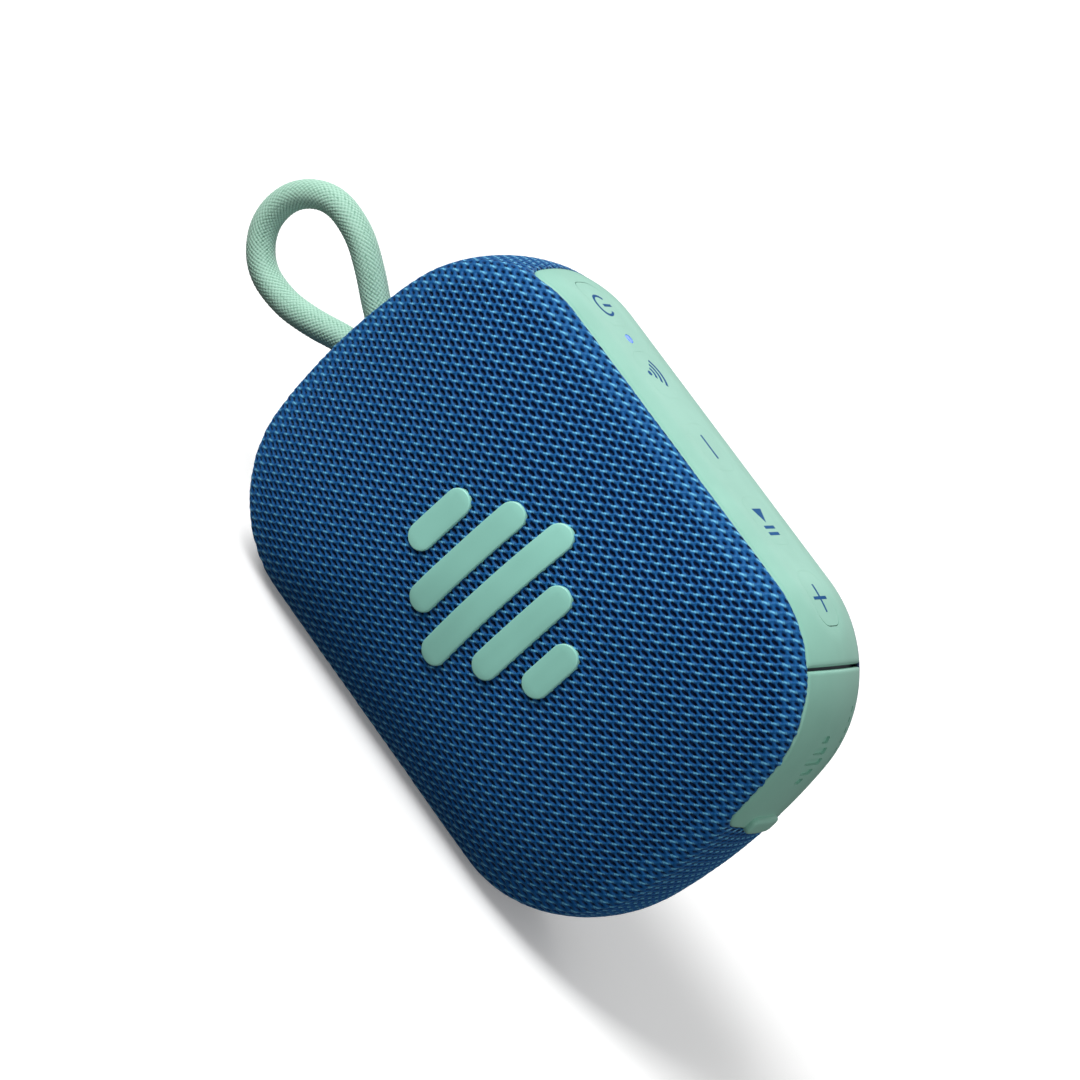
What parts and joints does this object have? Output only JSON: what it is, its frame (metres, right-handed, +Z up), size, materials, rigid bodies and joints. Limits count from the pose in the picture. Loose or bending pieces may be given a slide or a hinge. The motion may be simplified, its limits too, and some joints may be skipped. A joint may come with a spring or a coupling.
{
  "type": "portable bluetooth speaker",
  "caption": "Pocket loudspeaker with a knitted pillow-shaped body, a rubber control strip of press keys, a rubber port cover and a rope loop.",
  "frame": {"origin": "centre of the rubber foot's flat underside, on the table", "axes": "+X to the port cover side, -Y to the front with the emblem, +Z up to the control strip"},
  "size_m": [0.135, 0.0444, 0.073],
  "materials": {
    "shell_plastic": "satin",
    "black_rubber": "matte",
    "blue_knit": "knitted",
    "mint_rubber": "soft touch",
    "mint_plastic": "satin",
    "navy_rubber": "matte",
    "navy_plastic": "satin",
    "clear_plastic": "clear",
    "steel": "plain",
    "mint_rope": "braided",
    "black_metal": "powder coated",
    "dark_magnet": "ground",
    "paper_cone": "pressed fibre",
    "copper": "wound",
    "cell_wrap": "shrink film",
    "board_green": "solder mask",
    "black_plastic": "moulded",
    "amber_film": "film",
    "wire_red": "insulation"
  },
  "bodies": {
    "enclosure": {"battery_cell": "cell_wrap", "battery_cradle": "shell_plastic", "battery_lead": "wire_red", "battery_pads": "black_rubber", "board_components": "black_plastic", "board_screws": "steel", "control_strip": "mint_rubber", "driver_basket": "black_metal", "driver_gasket": "black_rubber", "driver_lead": "wire_red", "driver_magnet": "dark_magnet", "driver_screws": "steel", "driver_spider": "paper_cone", "driver_surround": "black_rubber", "driver_terminal": "board_green", "driver_top_plate": "steel", "driver_yoke": "steel", "foot_pad": "navy_rubber", "front_badge": "mint_plastic", "front_fabric": "blue_knit", "front_shell": "shell_plastic", "key_board": "board_green", "key_ribbon": "amber_film", "lanyard_bezel": "navy_plastic", "lanyard_block": "shell_plastic", "lanyard_pin": "steel", "lanyard_root": "mint_rope", "main_board": "board_green", "port_bay": "shell_plastic", "radiator_frame": "shell_plastic", "radiator_surround": "black_rubber", "rear_fabric": "blue_knit", "rear_shell": "shell_plastic", "shell_screws": "steel", "shell_seal": "black_rubber", "status_led": "clear_plastic", "status_light_pipe": "clear_plastic", "tact_switches": "steel", "usb_c_socket": "steel"},
    "lanyard": {"lanyard_rope": "mint_rope"},
    "port_cover": {"port_cover": "mint_rubber"},
    "driver_diaphragm": {"driver_cone": "paper_cone", "driver_dust_cap": "paper_cone", "driver_voice_coil": "copper"},
    "radiator": {"radiator_plate": "steel"},
    "power_key": {"power_key": "mint_rubber", "power_plunger": "black_plastic"},
    "pairing_key": {"pairing_key": "mint_rubber", "pairing_plunger": "black_plastic"},
    "volume_down_key": {"volume_down_key": "mint_rubber", "volume_down_plunger": "black_plastic"},
    "play_key": {"play_key": "mint_rubber", "play_plunger": "black_plastic"},
    "volume_up_key": {"volume_up_key": "mint_rubber", "volume_up_plunger": "black_plastic"}
  },
  "joints": [
    {"name": "power_press", "type": "slide", "parent": "enclosure", "child": "power_key", "axis": [0, 0, -1], "range_m": [0, 0.0003], "stiffness_N_per_m": 400},
    {"name": "pairing_press", "type": "slide", "parent": "enclosure", "child": "pairing_key", "axis": [0, 0, -1], "range_m": [0, 0.0003], "stiffness_N_per_m": 400},
    {"name": "volume_down_press", "type": "slide", "parent": "enclosure", "child": "volume_down_key", "axis": [0, 0, -1], "range_m": [0, 0.0003], "stiffness_N_per_m": 400},
    {"name": "play_press", "type": "slide", "parent": "enclosure", "child": "play_key", "axis": [0, 0, -1], "range_m": [0, 0.0003], "stiffness_N_per_m": 400},
    {"name": "volume_up_press", "type": "slide", "parent": "enclosure", "child": "volume_up_key", "axis": [0, 0, -1], "range_m": [0, 0.0003], "stiffness_N_per_m": 400},
    {"name": "port_cover_hinge", "type": "hinge", "parent": "enclosure", "child": "port_cover", "pos_m": [0.04192, 0, 0.06806], "axis": [0, -1, 0], "range_deg": [0, 110], "stiffness_Nm_per_rad": 0.002},
    {"name": "lanyard_swing", "type": "hinge", "parent": "enclosure", "child": "lanyard", "pos_m": [-0.0551, 0, 0.037], "axis": [0, 0, 1], "range_deg": [-60, 60], "stiffness_Nm_per_rad": 0.002},
    {"name": "driver_stroke", "type": "slide", "parent": "enclosure", "child": "driver_diaphragm", "axis": [0, -1, 0], "range_m": [-0.0015, 0.0015], "stiffness_N_per_m": 900, "deforming": ["driver_surround", "driver_spider"]},
    {"name": "radiator_stroke", "type": "slide", "parent": "enclosure", "child": "radiator", "axis": [0, 1, 0], "range_m": [-0.002, 0.002], "stiffness_N_per_m": 700, "deforming": ["radiator_surround"]}
  ]
}
